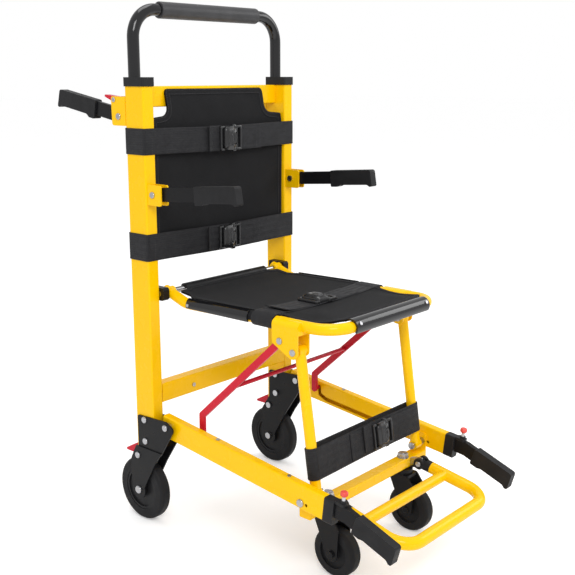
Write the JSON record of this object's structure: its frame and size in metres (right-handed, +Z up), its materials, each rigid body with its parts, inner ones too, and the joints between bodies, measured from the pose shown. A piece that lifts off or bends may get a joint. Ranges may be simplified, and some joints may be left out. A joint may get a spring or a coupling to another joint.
{
  "type": "stair chair",
  "caption": "Folding stair chair with a fabric seat and back, push handle, swing-out carry handles, footrest, lockable rear wheels and swivel casters",
  "frame": {"origin": "on the floor, on the plane of symmetry, below the middle of the chair's bounding box", "axes": "+Z up, -Y to the front of the chair, +X to the sitter's left"},
  "size_m": [0.419, 0.8108, 0.983],
  "materials": {
    "yellow_paint": "gloss",
    "black_paint": "satin",
    "red_paint": "gloss",
    "steel": "polished",
    "black_plastic": "textured",
    "grip_rubber": "matte",
    "grip_foam": "matte foam",
    "tyre_rubber": "matte",
    "fabric": "woven",
    "webbing": "ribbed",
    "red_plastic": "gloss"
  },
  "bodies": {
    "back_frame": {"post_l": "yellow_paint", "post_r": "yellow_paint", "upper_crossbar": "yellow_paint", "lower_crossbar": "yellow_paint", "post_caps": "black_plastic", "back_panel": "fabric", "chest_straps": "webbing", "chest_buckles": "black_plastic", "wheel_plates": "black_paint", "seat_brackets": "black_paint", "arm_brackets": "yellow_paint", "rear_handle_brackets": "yellow_paint", "frame_bolts": "steel", "seat_rod": "black_paint"},
    "push_handle": {"handle_tube": "black_paint", "handle_grip": "grip_foam"},
    "base": {"rail_l": "yellow_paint", "rail_r": "yellow_paint", "front_crossbar": "yellow_paint", "rail_caps": "black_plastic", "base_hardware": "steel"},
    "footrest": {"footrest_tube": "yellow_paint", "footrest_hubs": "black_plastic"},
    "leg_frame": {"legs": "yellow_paint", "calf_strap": "webbing"},
    "seat": {"seat_frame": "yellow_paint", "seat_clamp_rails": "black_paint", "seat_rear_sleeve": "black_paint", "seat_sling": "fabric", "seat_belt": "webbing", "seat_belt_buckle": "black_plastic", "seat_bolts": "steel"},
    "brace": {"brace_links": "red_paint", "brace_crossrod": "red_paint"},
    "rear_wheel_l": {"rear_tyre_l": "tyre_rubber", "rear_hub_l": "black_plastic"},
    "lever_l": {"lock_lever_l": "red_paint"},
    "caster_l": {"caster_fork_l": "black_paint"},
    "front_wheel_l": {"caster_wheel_l": "tyre_rubber"},
    "carry_handle_l": {"carry_bar_l": "black_paint", "carry_grip_l": "grip_rubber"},
    "pin_l": {"pull_pin_l": "red_plastic"},
    "arm_l": {"arm_bar_l": "black_paint", "arm_grip_l": "grip_rubber"},
    "rear_handle_body_l": {"rear_handle_l": "black_paint", "rear_grip_l": "grip_rubber"},
    "latch_l": {"rear_latch_l": "red_paint"},
    "rear_wheel_r": {"rear_tyre_r": "tyre_rubber", "rear_hub_r": "black_plastic"},
    "lever_r": {"lock_lever_r": "red_paint"},
    "caster_r": {"caster_fork_r": "black_paint"},
    "front_wheel_r": {"caster_wheel_r": "tyre_rubber"},
    "carry_handle_r": {"carry_bar_r": "black_paint", "carry_grip_r": "grip_rubber"},
    "pin_r": {"pull_pin_r": "red_plastic"},
    "arm_r": {"arm_bar_r": "black_paint", "arm_grip_r": "grip_rubber"},
    "rear_handle_body_r": {"rear_handle_r": "black_paint", "rear_grip_r": "grip_rubber"},
    "latch_r": {"rear_latch_r": "red_paint"}
  },
  "joints": [
    {"name": "push_handle_slide", "type": "slide", "parent": "back_frame", "child": "push_handle", "axis": [0, 0, 1], "range_m": [-0.065, 0]},
    {"name": "base_fold", "type": "hinge", "parent": "back_frame", "child": "base", "pos_m": [0, 0.11075, 0.209], "axis": [-1, 0, 0], "range_deg": [0, 75]},
    {"name": "seat_fold", "type": "hinge", "parent": "back_frame", "child": "seat", "pos_m": [0, 0.14875, 0.457], "axis": [-1, 0, 0], "range_deg": [0, 76]},
    {"name": "leg_fold", "type": "hinge", "parent": "base", "child": "leg_frame", "pos_m": [0, -0.21325, 0.157], "axis": [-1, 0, 0], "range_deg": [-76, 0]},
    {"name": "brace_fold", "type": "hinge", "parent": "seat", "child": "brace", "pos_m": [0, -0.14625, 0.42], "axis": [-1, 0, 0], "range_deg": [-38, 0]},
    {"name": "footrest_fold", "type": "hinge", "parent": "base", "child": "footrest", "pos_m": [0, -0.24525, 0.136], "axis": [1, 0, 0], "range_deg": [-100, 0]},
    {"name": "arm_raise_l", "type": "hinge", "parent": "back_frame", "child": "arm_l", "pos_m": [0.187, 0.13275, 0.644], "axis": [-1, 0, 0], "range_deg": [0, 70]},
    {"name": "rear_wheel_spin_l", "type": "hinge", "parent": "back_frame", "child": "rear_wheel_l", "pos_m": [0.1885, 0.19075, 0.0625], "axis": [1, 0, 0], "continuous": true},
    {"name": "lock_lever_press_l", "type": "hinge", "parent": "back_frame", "child": "lever_l", "pos_m": [0.1885, 0.18975, 0.135], "axis": [-1, 0, 0], "range_deg": [0, 20]},
    {"name": "caster_swivel_l", "type": "hinge", "parent": "base", "child": "caster_l", "pos_m": [0.114, -0.20925, 0.115], "axis": [0, 0, 1], "continuous": true},
    {"name": "caster_spin_l", "type": "hinge", "parent": "caster_l", "child": "front_wheel_l", "pos_m": [0.114, -0.23125, 0.0445], "axis": [1, 0, 0], "continuous": true},
    {"name": "carry_handle_slide_l", "type": "slide", "parent": "base", "child": "carry_handle_l", "axis": [0, 0.9935, 0.1141], "range_m": [-0.12, 0]},
    {"name": "pull_pin_lift_l", "type": "slide", "parent": "base", "child": "pin_l", "axis": [0, -0.1141, 0.9935], "range_m": [0, 0.008]},
    {"name": "rear_handle_fold_l", "type": "hinge", "parent": "back_frame", "child": "rear_handle_body_l", "pos_m": [0.1875, 0.21575, 0.7805], "axis": [-1, 0, 0], "range_deg": [0, 85]},
    {"name": "rear_latch_lift_l", "type": "hinge", "parent": "back_frame", "child": "latch_l", "pos_m": [0.1875, 0.22775, 0.81], "axis": [1, 0, 0], "range_deg": [0, 15]},
    {"name": "arm_raise_r", "type": "hinge", "parent": "back_frame", "child": "arm_r", "pos_m": [-0.187, 0.13275, 0.644], "axis": [-1, 0, 0], "range_deg": [0, 70]},
    {"name": "rear_wheel_spin_r", "type": "hinge", "parent": "back_frame", "child": "rear_wheel_r", "pos_m": [-0.1885, 0.19075, 0.0625], "axis": [1, 0, 0], "continuous": true},
    {"name": "lock_lever_press_r", "type": "hinge", "parent": "back_frame", "child": "lever_r", "pos_m": [-0.1885, 0.18975, 0.135], "axis": [-1, 0, 0], "range_deg": [0, 20]},
    {"name": "caster_swivel_r", "type": "hinge", "parent": "base", "child": "caster_r", "pos_m": [-0.114, -0.20925, 0.115], "axis": [0, 0, 1], "continuous": true},
    {"name": "caster_spin_r", "type": "hinge", "parent": "caster_r", "child": "front_wheel_r", "pos_m": [-0.114, -0.23125, 0.0445], "axis": [1, 0, 0], "continuous": true},
    {"name": "carry_handle_slide_r", "type": "slide", "parent": "base", "child": "carry_handle_r", "axis": [0, 0.9935, 0.1141], "range_m": [-0.12, 0]},
    {"name": "pull_pin_lift_r", "type": "slide", "parent": "base", "child": "pin_r", "axis": [0, -0.1141, 0.9935], "range_m": [0, 0.008]},
    {"name": "rear_handle_fold_r", "type": "hinge", "parent": "back_frame", "child": "rear_handle_body_r", "pos_m": [-0.1875, 0.21575, 0.7805], "axis": [-1, 0, 0], "range_deg": [0, 85]},
    {"name": "rear_latch_lift_r", "type": "hinge", "parent": "back_frame", "child": "latch_r", "pos_m": [-0.1875, 0.22775, 0.81], "axis": [1, 0, 0], "range_deg": [0, 15]}
  ],
  "couplings": [
    {"joint": "seat_fold", "follows": "base_fold", "ratio": 1},
    {"joint": "leg_fold", "follows": "base_fold", "ratio": -1},
    {"joint": "brace_fold", "follows": "base_fold", "ratio": -0.5},
    {"joint": "arm_raise_l", "follows": "base_fold", "ratio": 0.93},
    {"joint": "arm_raise_r", "follows": "base_fold", "ratio": 0.93}
  ]
}
